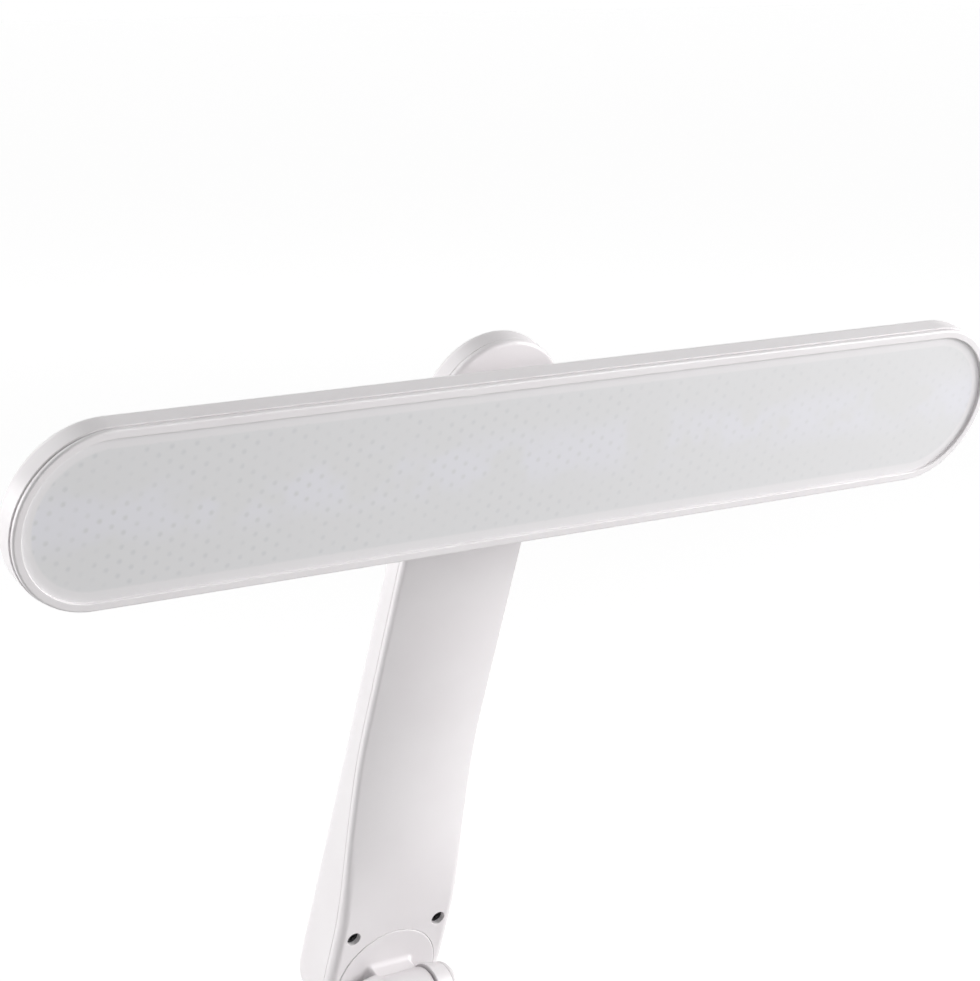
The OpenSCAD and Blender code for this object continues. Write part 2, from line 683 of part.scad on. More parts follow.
// ---- Base ----
module base_turn() rotate([0, 0, 90]) children();
module base_slab(inset, low, high) base_turn()
    slab(base_depth - 2 * inset, base_width - 2 * inset, low, high);
module base_bosses() four(boss_x, boss_y) children();
module button_places() for (side = [-1, 1]) translate([side * button_spacing / 2, button_y, 0]) children();
module board_posts() translate([0, button_y, 0])
    four(board_size[0] / 2 - post_radius, board_size[1] / 2 - post_radius) children();
module inlet_posts() translate([0, inlet_y, 0])
    for (side = [-1, 1]) translate([side * (inlet_size[0] / 2 - post_radius), -2, 0]) children();
// Side view of the yoke, with y to the back and z up from the hinge axis
function tangent(p, r, turn) = let (a = atan2(p[1], p[0]) + turn * acos(r / norm(p))) r * [cos(a), sin(a)];
module yoke_ears() {
    back = [waist_back, -waist_drop];
    front = [-waist_front, -waist_drop];
    circle(low_barrel_radius);
    polygon([tangent(back, low_barrel_radius, 1), back, front, tangent(front, low_barrel_radius, -1)]);
}
module pedestal_plan(grow = 0) translate([0, hinge_y - (pedestal_front - pedestal_back) / 2])
    stadium(pedestal_width + 2 * grow, pedestal_front + pedestal_back + 2 * grow);
module waist_plan() translate([0, hinge_y - (waist_front - waist_back) / 2])
    for (x = [-1, 1], y = [-1, 1]) translate([x * (yoke_half - waist_round),
        y * ((waist_front + waist_back) / 2 - waist_round)]) circle(waist_round, $fn = 32);
module base_top() color(white) difference() {
    union() {
        difference() {
            translate([0, 0, base_height]) mirror([0, 0, 1]) base_turn()
                rounded_slab(base_depth, base_width, base_height - pad_thickness, base_edge);
            base_slab(base_wall, 0, base_ceiling);
        }
        translate([0, 0, bottom_top]) base_bosses()
            cylinder(base_ceiling - bottom_top + 0.5, r = base_boss_radius);
        translate([0, 0, board_z + board_size[2]]) board_posts()
            cylinder(base_ceiling - board_z - board_size[2] + 0.5, r = post_radius);
        translate([0, 0, socket_z]) inlet_posts() cylinder(base_ceiling - socket_z + 0.5, r = post_radius);
    }
    translate([0, 0, bottom_top - 1]) base_bosses() cylinder(base_shank + 1, r = cover_shank_radius + seat);
    button_places() cylinder(base_height + 5, r = button_radius + button_gap);
    translate([0, 0, ballast_top]) linear_extrude(base_height) pedestal_plan(yoke_gap);
    translate([0, base_depth / 2 - base_wall - 3, socket_z + socket_height / 2]) rotate([-90, 0, 0])
        linear_extrude(base_wall + 5)
            stadium(socket_width + 2 * socket_gap, socket_height + 2 * socket_gap);
}
module base_bottom() color(white) difference() {
    base_slab(base_wall + plate_gap, pad_thickness, bottom_top);
    base_bosses() {
        cylinder(bottom_top + 1, r = cover_shank_radius + 0.15);
        cylinder(pad_thickness + cover_head_height, r = cover_recess_radius);
    }
}
module base_screws() color(steel) translate([0, 0, pad_thickness + cover_head_height]) base_bosses()
    mirror([0, 0, 1]) screw(cover_head_radius, cover_head_height, cover_shank_radius, base_shank);
module ballast_plate() color(steel) difference() {
    base_slab(ballast_inset, bottom_top, ballast_top);
    base_bosses() cylinder(ballast_top + 1, r = base_boss_radius + 0.5);
    foot_screw_places() cylinder(base_height, r = cover_shank_radius + seat);
}
module foot_screw_places()
    for (x = [-1, 1], y = [foot_y_low + foot_screw_inset, foot_y_high - foot_screw_inset])
        translate([x * (foot_x - foot_screw_inset), y, 0]) children();
module hinge_yoke() color(white) difference() {
    union() {
        at_base_axis() along_x(2 * yoke_half) yoke_ears();
        hull() {
            translate([0, 0, base_height - 0.5]) linear_extrude(0.5) pedestal_plan($fn = 48);
            translate([0, 0, hinge_z - waist_drop]) linear_extrude(0.5) waist_plan();
        }
        translate([0, 0, ballast_top]) linear_extrude(base_height - ballast_top - 0.2) pedestal_plan();
        translate([-foot_x, foot_y_low, ballast_top])
            cube([2 * foot_x, foot_y_high - foot_y_low, foot_thickness]);
    }
    at_base_axis() translate([-low_ear_start, -4 * low_barrel_radius, -slot_floor])
        cube([2 * low_ear_start, 8 * low_barrel_radius, 4 * low_barrel_radius]);
    at_base_axis() {
        rod_x(low_pin_radius + seat, -low_ear_end - 1, low_ear_end + 1);
        for (side = [0, 1]) mirror([side, 0, 0])
            rod_x(low_pin_radius + 1, low_ear_end - cap_spigot - play, low_ear_end + 1);
    }
    foot_screw_places() cylinder(base_height, r = cover_shank_radius + seat);
}
module yoke_screws() color(steel) foot_screw_places() translate([0, 0, ballast_top + foot_thickness])
    screw(cover_head_radius, cover_head_height, cover_shank_radius, foot_thickness + foot_shank);
module base_pin() color(steel) at_base_axis()
    rod_x(low_pin_radius, -low_ear_end + cap_spigot + play, low_ear_end - cap_spigot - play);
module base_pin_caps() color(white) at_base_axis()
    hinge_caps(low_ear_end, low_cap_length, low_barrel_radius, low_pin_radius + 1 - seat);
module base_washers() color(steel) at_base_axis()
    friction_washers(low_neck_half, low_pin_radius + running, low_barrel_radius - 2);
module control_board() color(board_green)
    translate([-board_size[0] / 2, button_y - board_size[1] / 2, board_z]) cube(board_size);
module button_switches() color(dark_steel) button_places() {
    switch_z = board_z + board_size[2];
    translate([-switch_size[0] / 2, -switch_size[1] / 2, switch_z]) cube(switch_size);
    translate([0, 0, switch_z])
        cylinder(button_stem_z - button_travel - switch_gap - switch_z, r = switch_cap_radius);
}
module button() {
    flange_z = base_ceiling - button_flange_height;
    translate([0, 0, button_stem_z]) cylinder(1, r = switch_cap_radius);
    translate([0, 0, flange_z]) cylinder(button_flange_height, r = button_radius + button_flange);
    translate([0, 0, flange_z]) rotate_extrude() {
        square([button_radius - button_round, button_top - flange_z]);
        square([button_radius, button_top - flange_z - button_round]);
        translate([button_radius - button_round, button_top - flange_z - button_round])
            circle(button_round);
    }
}
module power_button() color(frosted) translate([-button_spacing / 2, button_y, 0]) button();
module tone_button() color(frosted) translate([button_spacing / 2, button_y, 0]) button();
module inlet_board() color(board_green)
    translate([-inlet_size[0] / 2, inlet_y - inlet_size[1] / 2, inlet_z]) cube(inlet_size);
module power_socket() color(steel) translate([0, base_depth / 2 - socket_lip, socket_z + socket_height / 2])
    rotate([90, 0, 0]) {
        difference() {
            linear_extrude(socket_depth) stadium(socket_width, socket_height);
            translate([0, 0, -1]) linear_extrude(socket_depth)
                stadium(socket_width - 2 * socket_wall, socket_height - 2 * socket_wall);
        }
        translate([-socket_width / 2 + tongue_inset, -tongue_thickness / 2, 0.6])
            cube([socket_width - 2 * tongue_inset, tongue_thickness, socket_depth - 1]);
    }
module base_pad() color(rubber_grey) base_slab(pad_inset, 0, pad_thickness);

head_housing();
head_bezel();
diffuser();
light_guide();
reflector_sheet();
light_strips();
light_chips();
head_bracket();
head_bracket_screws();
head_pin();
head_pin_caps();
head_washers();
upper_turntable();
upper_spring_washer();
upper_retainer();
upper_retainer_screws();
arm_front_cover();
arm_back_shell();
arm_screws();
arm_wire();
lower_turntable();
lower_spring_washer();
lower_retainer();
lower_retainer_screws();
base_top();
base_bottom();
base_screws();
ballast_plate();
hinge_yoke();
yoke_screws();
base_pin();
base_pin_caps();
base_washers();
control_board();
button_switches();
inlet_board();
power_socket();
base_pad();
power_button();
tone_button();
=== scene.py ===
import json
from math import acos, atan2, cos, hypot, pi, radians, sin, sqrt

import bmesh
import bpy
from mathutils import Matrix, Vector


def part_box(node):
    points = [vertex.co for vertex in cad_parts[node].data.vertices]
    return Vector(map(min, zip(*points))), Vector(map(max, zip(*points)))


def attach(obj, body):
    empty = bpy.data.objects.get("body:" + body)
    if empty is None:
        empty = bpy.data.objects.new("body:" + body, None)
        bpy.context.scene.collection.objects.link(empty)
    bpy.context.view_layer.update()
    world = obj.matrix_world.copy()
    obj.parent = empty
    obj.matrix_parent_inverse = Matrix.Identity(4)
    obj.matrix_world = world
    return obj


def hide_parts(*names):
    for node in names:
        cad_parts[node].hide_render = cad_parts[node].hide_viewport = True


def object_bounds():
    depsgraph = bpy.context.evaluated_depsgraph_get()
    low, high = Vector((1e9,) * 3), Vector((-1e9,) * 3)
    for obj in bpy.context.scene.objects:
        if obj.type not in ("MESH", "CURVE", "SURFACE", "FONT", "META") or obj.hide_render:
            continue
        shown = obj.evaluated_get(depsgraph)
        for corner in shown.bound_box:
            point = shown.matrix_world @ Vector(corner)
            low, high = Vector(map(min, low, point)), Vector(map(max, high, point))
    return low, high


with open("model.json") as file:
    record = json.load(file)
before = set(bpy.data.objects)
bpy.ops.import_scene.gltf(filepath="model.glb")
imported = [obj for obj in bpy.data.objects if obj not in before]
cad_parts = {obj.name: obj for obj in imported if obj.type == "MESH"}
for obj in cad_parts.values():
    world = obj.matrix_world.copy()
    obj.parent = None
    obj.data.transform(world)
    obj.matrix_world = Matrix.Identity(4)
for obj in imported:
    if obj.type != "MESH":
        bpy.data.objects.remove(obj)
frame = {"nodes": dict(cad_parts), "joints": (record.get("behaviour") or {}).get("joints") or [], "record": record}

cad_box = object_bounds()
MM = 0.001

# ---- Places, from the frame ----
JOINTS = {joint["name"]: joint for joint in frame["joints"]}
HINGE = Vector(JOINTS["arm_tilt"]["pos_m"])
HEAD_HINGE = Vector(JOINTS["head_tilt"]["pos_m"])
TOP_CENTRE = Vector(JOINTS["head_swivel"]["pos_m"])
TURN_AXIS = Vector(JOINTS["arm_swivel"]["axis"])
ARM_LEAN = atan2(-TURN_AXIS.z, -TURN_AXIS.y)
HEAD_LEAN = radians(17.1)
ARM_LENGTH = (TOP_CENTRE - HINGE).length


def leaning(origin, lean):
    """The frame of a piece that leans forwards by that angle and turns about origin."""
    return Matrix.Translation(origin) @ Matrix.Rotation(pi / 2 + lean, 4, "X")


AT_BASE = Matrix.Identity(4)
AT_HINGE = Matrix.Translation(HINGE)
AT_ARM = leaning(HINGE, ARM_LEAN)
AT_TOP = leaning(TOP_CENTRE, ARM_LEAN)
AT_TOP_AXIS = leaning(HEAD_HINGE, ARM_LEAN)
AT_HEAD = leaning(HEAD_HINGE, HEAD_LEAN)

# ---- Sizes ----
HEAD_LENGTH, HEAD_WIDTH, HEAD_DEPTH, HEAD_EDGE = 389.4 * MM, 60 * MM, 12 * MM, 4.2 * MM
HEAD_REACH = 22.5 * MM
HEAD_WALL = 1.6 * MM
BEZEL_HEIGHT, BEZEL_STEP, BEZEL_FACE, BEZEL_JOINT = 1.6 * MM, 0.35 * MM, 2.9 * MM, 0.35 * MM
SKIRT_INSET, SKIRT_WALL, SKIRT_DEPTH = 2.7 * MM, 1 * MM, 4 * MM
PANEL_RECESS, PANEL_THICKNESS = 1.2 * MM, 1.2 * MM

ARM_RADIUS, ARM_BACK, ARM_EDGE = 24.9 * MM, 35.6 * MM, 4 * MM
PLATFORM_DEPTH, PLATFORM_DROP = 12.5 * MM, 3.1 * MM
SHOULDER_DEPTH, TOP_DEPTH, CROWN_HEIGHT = 23.6 * MM, 24.4 * MM, 3 * MM
STEP_START, STEP_END, CROWN_START = 22 * MM, 106 * MM, 66 * MM
COVER_RIM = 1.2 * MM
COVER_SCREW_X, COVER_SCREW_Y, COVER_RECESS, SCREW_LEDGE = 18.5 * MM, 22 * MM, 2.75 * MM, 1.1 * MM
PLATFORM_ROUND, UPPER_ROUND = PLATFORM_DROP, 1.3 * MM
SEAM = 0.06 * MM    # half of the seam between the arm's two shells
COVER_WALL, SHELL_LIP = 3 * MM, 2.2 * MM

LOW_DISC, LOW_DISC_THICKNESS, DISC_PROUD = 21 * MM, 2.5 * MM, 0.25 * MM
LOW_BARREL, LOW_NECK_HALF, LOW_NECK_HEIGHT = 9.3 * MM, 9 * MM, 6.4 * MM
LOW_EAR, LOW_CAP, WASHER_GAP = 7 * MM, 2.4 * MM, 0.8 * MM
TOP_DISC, TOP_DISC_THICKNESS, TOP_REACH = 15 * MM, 2 * MM, 10.7 * MM
TOP_BARREL, TOP_NECK_HALF, TOP_NECK_HEIGHT = 7 * MM, 8 * MM, 5.6 * MM
TOP_EAR, TOP_CAP = 4.2 * MM, 1.8 * MM
DISC_JOINT, PLAY = 0.16 * MM, 0.1 * MM
BRACKET_LENGTH, BRACKET_WIDTH, BRACKET_FLANGE = 46 * MM, 22 * MM, 2 * MM

BASE_WIDTH, BASE_DEPTH, BASE_HEIGHT, BASE_EDGE, BASE_WALL = 150 * MM, 180 * MM, 20 * MM, 5 * MM, 2.4 * MM
PAD_THICKNESS, PAD_INSET = 1.5 * MM, 5 * MM
PEDESTAL_WIDTH, PEDESTAL_BACK, PEDESTAL_FRONT, PEDESTAL_GAP = 50 * MM, 11.5 * MM, 26 * MM, 0.3 * MM
WAIST_BACK, WAIST_FRONT, WAIST_DROP, WAIST_ROUND = 8.6 * MM, 11 * MM, 14 * MM, 3 * MM
SLOT_FLOOR, SLOT_LEAN, EAR_TAPER = 10.1 * MM, 0.4 * MM, 1 * MM
BUTTON_RADIUS, BUTTON_GAP, BUTTON_PROUD = 7 * MM, 0.15 * MM, 1 * MM
SOCKET_MOUTH = (9.6 * MM, 3.9 * MM)

EASE = 0.3 * MM     # the small rounding that moulded edges have
FINE = 32           # steps in a quarter of a large outline


# ---- Mesh tools ----
def finish_mesh(bm, name, where):
    """A smooth closed piece from bm, placed by where, with its hard edges kept."""
    bmesh.ops.remove_doubles(bm, verts=bm.verts, dist=0.001 * MM)
    bmesh.ops.dissolve_degenerate(bm, edges=bm.edges, dist=0.001 * MM)
    bmesh.ops.recalc_face_normals(bm, faces=bm.faces)
    mesh = bpy.data.meshes.new(name)
    bm.to_mesh(mesh)
    bm.free()
    mesh.transform(where)
    piece = bpy.data.objects.new(name, mesh)
    bpy.context.scene.collection.objects.link(piece)
    return piece


def shade(piece, hard=radians(38)):
    """Smooth faces, hard edges above an angle, and normals that follow the large faces."""
    bm = bmesh.new()
    bm.from_mesh(piece.data)
    for face in bm.faces:
        face.smooth = True
    for edge in bm.edges:
        edge.smooth = edge.is_manifold and edge.calc_face_angle(0) < hard
    bm.to_mesh(piece.data)
    bm.free()
    modifier = piece.modifiers.new("normals", "WEIGHTED_NORMAL")
    modifier.keep_sharp = True
    modifier.weight = 80
    return piece


def applied(piece):
    """The piece with its modifiers made part of its mesh."""
    graph = bpy.context.evaluated_depsgraph_get()
    mesh = bpy.data.meshes.new_from_object(piece.evaluated_get(graph))
    piece.modifiers.clear()
    piece.data = mesh
    return piece


def quarter_loop(half_x, half_y, round_x, steps=FINE, centre=(0, 0)):
    """Points round a rectangle with round corners. It is a stadium or a circle at full rounding."""
    points = []
    for quarter, (side_x, side_y) in enumerate([(1, 1), (-1, 1), (-1, -1), (1, -1)]):
        for k in range(steps + 1):
            turn = (quarter + k / steps) * pi / 2
            points.append((centre[0] + side_x * (half_x - round_x) + round_x * cos(turn),
                           centre[1] + side_y * (half_y - round_x) + round_x * sin(turn)))
    return points


def loft(name, rings, where, closed=False, ends=True):
    """Joins rings of as many points each, one to the next.

    The last ring joins the first where closed is set, and otherwise both ends are filled, unless
    they have no area to fill.
    """
    bm = bmesh.new()
    rows = [[bm.verts.new(point) for point in ring] for ring in rings]
    count = len(rows[0])
    for i in range(len(rows) if closed else len(rows) - 1):
        low, high = rows[i], rows[(i + 1) % len(rows)]
        for k in range(count):
            n = (k + 1) % count
            bm.faces.new((low[k], low[n], high[n], high[k]))
    if ends and not closed:
        bm.faces.new(rows[0][::-1])
        bm.faces.new(rows[-1])
    return finish_mesh(bm, name, where)


def arc(centre, radius, start, end, steps=6):
    """Points on an arc, in degrees, as (inset or radius, height) pairs."""
    turns = [radians(start + (end - start) * k / steps) for k in range(steps + 1)]
    return [(centre[0] + radius * cos(t), centre[1] + radius * sin(t)) for t in turns]


def shell(name, half_x, half_y, profile, where, closed=False, steps=FINE, centre=(0, 0)):
    """A stadium or circle whose outline steps in by each inset of the profile at its height."""
    radius = min(half_x, half_y)
    rings = [[(x, y, height) for x, y in
              quarter_loop(half_x - inset, half_y - inset, radius - inset, steps, centre)]
             for inset, height in profile]
    return loft(name, rings, where, closed)


def turned(name, profile, where, steps=24):
    """A solid of revolution about z from (radius, height) pairs."""
    rings = [[(x, y, height) for x, y in quarter_loop(radius, radius, radius, steps)]
             for radius, height in profile]
    return loft(name, rings, where)


def prism(name, outline, low, high, where, edge=EASE, outline_high=None):
    """An outline in y and z, drawn out along x from low to high, with eased edges."""
    ends = ((low, outline), (high, outline_high or outline))
    piece = loft(name, [[(x, y, z) for y, z in points] for x, points in ends], where)
    if edge:
        modifier = piece.modifiers.new("ease", "BEVEL")
        modifier.width = edge
        modifier.segments = 3
        modifier.limit_method = "ANGLE"
        modifier.angle_limit = radians(50)
        applied(piece)
    return piece


# Turns a round cutter a little, so that its edges stay off the mesh lines that it cuts
OFF_GRID = Matrix.Rotation(radians(1.7), 4, "Z")


def cut(piece, *cutters):
    for cutter in cutters:
        modifier = piece.modifiers.new("cut", "BOOLEAN")
        modifier.operation = "DIFFERENCE"
        modifier.solver = "EXACT"
        modifier.object = cutter
        applied(piece)
        bpy.data.objects.remove(cutter)
    return piece


def hole_profile(radius, bottom, top, flare=EASE, above=2 * MM):
    """A cutter's profile that leaves the hole's mouth rounded."""
    mouth = [(radius + flare - flare * cos(t), top - flare + flare * sin(t))
             for t in (k * pi / 12 for k in range(7))]
    return [(radius, bottom)] + mouth + [(radius + flare, top + above)]


# ---- Materials ----
class Graph:
    """A material's nodes, with short ways to add and join them."""

    def __init__(self, name):
        self.material = bpy.data.materials.new(name)
        self.material.use_nodes = True
        self.tree = self.material.node_tree
        self.shader = self.tree.nodes["Principled BSDF"]

    def join(self, value, socket):
        if isinstance(value, bpy.types.NodeSocket):
            self.tree.links.new(value, socket)
        else:
            socket.default_value = value

    def add(self, kind, *inputs, **settings):
        made = self.tree.nodes.new("ShaderNode" + kind)
        for setting, value in settings.items():
            setattr(made, setting, value)
        for position, value in enumerate(inputs):
            if value is not None:
                self.join(value, made.inputs[position])
        return made

    def maths(self, operation, *values):
        return self.add("Math", *values, operation=operation).outputs[0]

    def place(self):
        return self.add("TexCoord").outputs["Object"]

    def noise(self, scale, detail=2.0, stretch=None):
        point = self.place()
        if stretch:
            point = self.add("Mapping", point, None, None, stretch).outputs[0]
        made = self.add("TexNoise", point)
        made.inputs["Scale"].default_value = scale
        made.inputs["Detail"].default_value = detail
        return made.outputs["Fac"]

    def blend(self, share, first, second):
        made = self.add("Mix", data_type="RGBA")
        self.join(share, made.inputs["Factor"])
        self.join(first, made.inputs["A"])
        self.join(second, made.inputs["B"])
        return made.outputs["Result"]

    def span(self, value, from_low, from_high, to_low=0.0, to_high=1.0):
        made = self.add("MapRange", value, from_low, from_high, to_low, to_high)
        made.interpolation_type = "SMOOTHSTEP"
        return made.outputs[0]

    def bump(self, height, distance, strength=1.0):
        made = self.add("Bump")
        made.inputs["Strength"].default_value = strength
        made.inputs["Distance"].default_value = distance
        self.join(height, made.inputs["Height"])
        self.join(made.outputs["Normal"], self.shader.inputs["Normal"])

    def set(self, **values):
        for name, value in values.items():
            self.join(value, self.shader.inputs[name.replace("_", " ")])
        return self.material


def colour(red, green, blue):
    return (red, green, blue, 1.0)


def moulded(name, light, dark, roughness, grain=900, depth=0.02 * MM):
    """Moulded plastic: a faint cloudiness, and a fine even grain in its gloss and surface."""
    graph = Graph(name)
    cloud = graph.span(graph.noise(25, 3.0), 0.35, 0.65)
    texture = graph.noise(grain, 1.0)
    graph.bump(texture, depth, 0.5)
    gloss = graph.span(texture, 0.3, 0.7, roughness - 0.03, roughness + 0.05)
    return graph.set(Base_Color=graph.blend(cloud, dark, light), Roughness=gloss)


def metal(name, tone, roughness, grain=(1, 1, 14)):
    """Plated or blackened steel with a light drawn grain."""
    graph = Graph(name)
    drawn = graph.noise(700, 2.0, grain)
    graph.bump(drawn, 0.01 * MM, 0.4)
    bright = colour(tone * 1.1, tone * 1.1, tone * 1.13)
    dim = colour(tone * 0.85, tone * 0.85, tone * 0.88)
    gloss = graph.span(drawn, 0.3, 0.7, roughness - 0.06, roughness + 0.08)
    return graph.set(Base_Color=graph.blend(drawn, dim, bright), Roughness=gloss, Metallic=1.0)


LATTICE_X, LATTICE_Y = 4.16 * MM, 4.8 * MM
DOT_CORE, DOT_EDGE = 0.2 * MM, 1.35 * MM
LATTICE_MARGIN = 3 * MM


def wrapped(graph, value, pitch, shift):
    """How far value is from the nearest multiple of pitch, moved by a share of the pitch."""
    turns = graph.maths("ADD", graph.maths("DIVIDE", value, pitch), 0.5 + shift)
    return graph.maths("MULTIPLY", graph.maths("SUBTRACT", graph.maths("FRACT", turns), 0.5), pitch)


def frosted_panel(name):
    """Frosted sheet over a lattice of printed dots that shows faintly through it, with painted shade: the dots
    show more strongly towards the −x end.
    """
    graph = Graph(name)
    point = graph.add("Mapping", graph.place(), HEAD_HINGE, (pi / 2 + HEAD_LEAN, 0, 0),
                      vector_type="TEXTURE").outputs[0]
    x, y, _ = graph.add("SeparateXYZ", point).outputs
    near = []
    for shift in (0, 0.5):
        across = wrapped(graph, x, 2 * LATTICE_X, shift)
        along = wrapped(graph, y, LATTICE_Y, shift)
        near.append(graph.maths("SQRT", graph.maths(
            "ADD", graph.maths("MULTIPLY", across, across), graph.maths("MULTIPLY", along, along))))
    dot = graph.span(graph.maths("MINIMUM", *near), DOT_CORE, DOT_EDGE, 1.0, 0.0)
    past_end = graph.maths("MAXIMUM", graph.maths("SUBTRACT", graph.maths("ABSOLUTE", x),
                                                  (HEAD_LENGTH - HEAD_WIDTH) / 2), 0.0)
    reach = graph.maths("SQRT", graph.maths(
        "ADD", graph.maths("MULTIPLY", past_end, past_end), graph.maths("MULTIPLY", y, y)))
    lattice_edge = HEAD_WIDTH / 2 - BEZEL_STEP - BEZEL_FACE - LATTICE_MARGIN
    inside = graph.span(reach, lattice_edge - 1 * MM, lattice_edge, 1.0, 0.0)
    uneven = graph.span(graph.noise(110, 3.0), 0.36, 0.62, 0.25, 1.0)
    # Painted shade: the dots show fully at the −x end and fade to about a third at the +x end, so the panel is
    # painted darker towards the −x end.
    painted_end_shade = graph.span(x, -HEAD_LENGTH / 2, HEAD_LENGTH / 2, 1.0, 0.35)
    shown = graph.maths("MULTIPLY", graph.maths("MULTIPLY", dot, inside),
                        graph.maths("MULTIPLY", uneven, painted_end_shade))
    band = graph.span(graph.maths("ABSOLUTE", graph.maths("SUBTRACT", y, 1.5 * MM)),
                      2 * MM, 15 * MM, 1.0, 0.0)
    tint = graph.maths("MULTIPLY", band, graph.span(graph.noise(55, 2.0), 0.4, 0.62))
    sheet = graph.blend(tint, colour(0.745, 0.742, 0.75), colour(0.765, 0.762, 0.80))
    plain = graph.blend(inside, colour(0.80, 0.785, 0.795), sheet)
    graph.bump(graph.noise(1400, 1.0), 0.02 * MM, 0.4)
    return graph.set(Base_Color=graph.blend(shown, plain, colour(0.67, 0.672, 0.685)), Roughness=0.42)


def board(name):
    graph = Graph(name)
    tracks = graph.span(graph.noise(160, 1.0, (1, 3, 1)), 0.48, 0.52)
    green = graph.blend(tracks, colour(0.02, 0.1, 0.05), colour(0.03, 0.17, 0.08))
    return graph.set(Base_Color=green, Roughness=0.35)


def clear_sheet(name):
    graph = Graph(name)
    graph.set(Transmission_Weight=1.0, IOR=1.49)
    haze = graph.span(graph.noise(60), 0.3, 0.7, 0.05, 0.15)
    return graph.set(Base_Color=colour(0.95, 0.97, 0.98), Roughness=haze)


def rubber(name, tone, roughness=0.8, grain=1200):
    graph = Graph(name)
    texture = graph.noise(grain, 3.0)
    graph.bump(texture, 0.08 * MM, 0.7)
    low, high = colour(tone * 0.8, tone * 0.8, tone * 0.82), colour(tone * 1.2, tone * 1.2, tone * 1.2)
    return graph.set(Base_Color=graph.blend(texture, low, high), Roughness=roughness)


MATERIALS = {
    "white_plastic": moulded("white_plastic", colour(0.85, 0.825, 0.835),
                             colour(0.83, 0.80, 0.812), 0.36),
    "diffuser_plastic": frosted_panel("diffuser_plastic"),
    "clear_plastic": clear_sheet("clear_plastic"),
    "reflector_white": moulded("reflector_white", colour(0.9, 0.9, 0.9), colour(0.87, 0.87, 0.87), 0.6),
    "circuit_board": board("circuit_board"),
    "chip_yellow": moulded("chip_yellow", colour(0.8, 0.62, 0.12), colour(0.7, 0.5, 0.08), 0.4),
    "steel": metal("steel", 0.6, 0.34),
    "dark_steel": metal("dark_steel", 0.05, 0.42, (1, 1, 1)),
    "ballast_steel": metal("ballast_steel", 0.42, 0.48),
    "wire_jacket": rubber("wire_jacket", 0.7, 0.5),
    "rubber_pad": rubber("rubber_pad", 0.05),
    "button_plastic": moulded("button_plastic", colour(0.76, 0.75, 0.76), colour(0.73, 0.72, 0.73), 0.5),
}
for subpart in frame["record"]["subparts"]:
    slots = frame["nodes"][subpart["node"]].data.materials
    slots.clear()
    slots.append(MATERIALS[subpart["material_slot"]])


def dress(piece, body, slot_name, *nodes):
    """The finished piece rides on a body and stands for CAD nodes."""
    shade(piece)
    piece.data.materials.clear()
    piece.data.materials.append(MATERIALS[slot_name])
    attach(piece, body)
    if nodes:
        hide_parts(*nodes)
    return piece


# ---- Head ----
def head_shell():
    back, rim = HEAD_REACH - HEAD_DEPTH, HEAD_REACH - BEZEL_HEIGHT - BEZEL_JOINT
    profile = arc((HEAD_EDGE, back + HEAD_EDGE), HEAD_EDGE, 270, 180, 10)
    profile += arc((EASE, rim - EASE), EASE, 180, 90, 4)
    profile += [(HEAD_WALL, rim), (HEAD_WALL, back + HEAD_WALL)]
    return shell("head_shell", HEAD_LENGTH / 2, HEAD_WIDTH / 2, profile, AT_HEAD)


def light_bezel():
    low, panel = HEAD_REACH - BEZEL_HEIGHT, HEAD_REACH - PANEL_RECESS
    inner = BEZEL_STEP + BEZEL_FACE
    outer_round = BEZEL_HEIGHT / 2
    profile = [(BEZEL_STEP + EASE / 2, low), (BEZEL_STEP, low + EASE / 2)]
    profile += arc((BEZEL_STEP + outer_round, HEAD_REACH - outer_round), outer_round, 180, 90, 8)
    profile += arc((inner - EASE, HEAD_REACH - EASE), EASE, 90, 0, 4)
    profile += [(inner, panel), (SKIRT_INSET, panel), (SKIRT_INSET, low - SKIRT_DEPTH),
                (SKIRT_INSET - SKIRT_WALL, low - SKIRT_DEPTH), (SKIRT_INSET - SKIRT_WALL, low)]
    return shell("light_bezel", HEAD_LENGTH / 2, HEAD_WIDTH / 2, profile, AT_HEAD, closed=True)


def light_panel():
    top = HEAD_REACH - PANEL_RECESS
    inset = SKIRT_INSET + PLAY
    profile = [(inset, top - PANEL_THICKNESS), (inset, top - EASE / 2), (inset + EASE / 2, top)]
    return shell("light_panel", HEAD_LENGTH / 2, HEAD_WIDTH / 2, profile, AT_HEAD)


def head_plate():
    back = HEAD_REACH - HEAD_DEPTH
    low = back - BRACKET_FLANGE
    profile = arc((EASE, low + EASE), EASE, 270, 180, 3) + [(0, back)]
    return shell("head_plate", BRACKET_LENGTH / 2, BRACKET_WIDTH / 2, profile, AT_HEAD)


def head_ears():
    """The two ears behind the head, each a round eye on a straight root."""
    root = HEAD_REACH - HEAD_DEPTH - BRACKET_FLANGE + 0.5 * MM
    eye = [(TOP_BARREL * cos(t), TOP_BARREL * sin(t)) for t in (pi + pi * k / 40 for k in range(41))]
    outline = eye + [(TOP_BARREL, root), (-TOP_BARREL, root)]
    start = TOP_NECK_HALF + WASHER_GAP
    spans = [(-start - TOP_EAR, -start), (start, start + TOP_EAR)]
    return [prism(f"head_ear_{i}", outline, low, high, AT_HEAD) for i, (low, high) in enumerate(spans)]


# ---- Hinges ----
def end_caps(name, start, length, radius, where):
    """Two domed caps over the ends of a hinge pin."""
    dome = 1.6 * MM
    profile = [(radius - EASE / 2, 0), (radius, EASE / 2)]
    profile += arc((radius - dome, length - dome), dome, 0, 90, 8)
    caps = []
    for side in (-1, 1):
        turn = Matrix.Translation((side * start, 0, 0)) @ Matrix.Rotation(side * pi / 2, 4, "Y")
        caps.append(turned(f"{name}_{(side + 1) // 2}", profile, where @ turn))
    return caps


def turning_disc(name, radius, thickness, reach, where):
    edge = 0.45 * MM
    profile = [(radius, -reach - thickness)] + arc((radius - edge, -reach - edge), edge, 0, 90, 5)
    return turned(name, profile, where, FINE)


